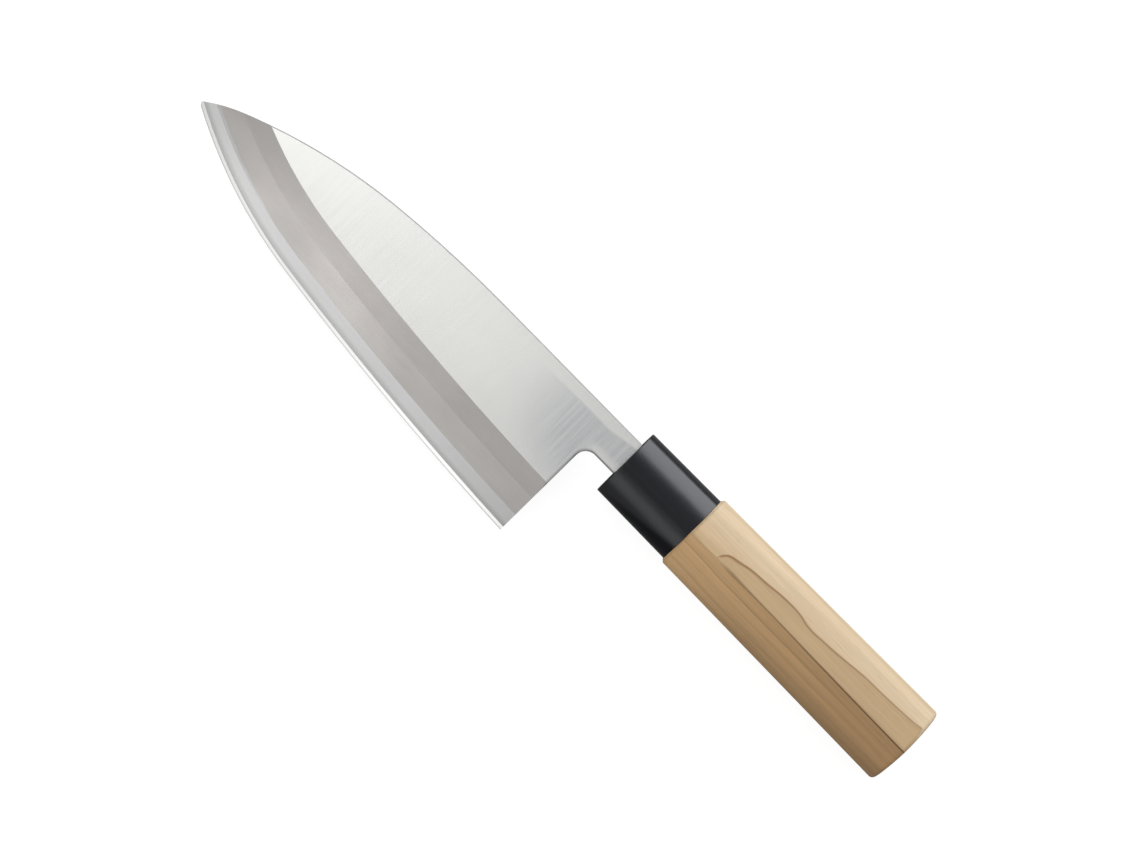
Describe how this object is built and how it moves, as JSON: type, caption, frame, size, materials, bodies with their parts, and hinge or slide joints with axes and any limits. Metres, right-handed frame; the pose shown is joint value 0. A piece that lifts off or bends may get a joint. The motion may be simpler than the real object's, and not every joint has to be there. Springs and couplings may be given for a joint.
{
  "type": "deba knife",
  "caption": "Heavy Japanese fish knife: one-sided forged blade with a steel edge, black ferrule and ridged wooden grip.",
  "frame": {"origin": "the point on the flat back of the blade where the line of the heel crosses the centreline of the handle", "axes": "+X from the tip to the butt, +Y from the cutting edge to the spine, +Z out of the bevelled face, so -Z points out of the flat back"},
  "size_m": [0.3059, 0.0587, 0.0227],
  "materials": {
    "soft_iron": "fine satin grind",
    "hard_steel": "polished",
    "black_plastic": "gloss",
    "magnolia_wood": "bare, sanded",
    "resin": "dull"
  },
  "bodies": {
    "root": {"blade_cladding": "soft_iron", "edge_steel": "hard_steel", "ferrule": "black_plastic", "handle_grip": "magnolia_wood", "tang_seal": "resin"}
  },
  "joints": []
}
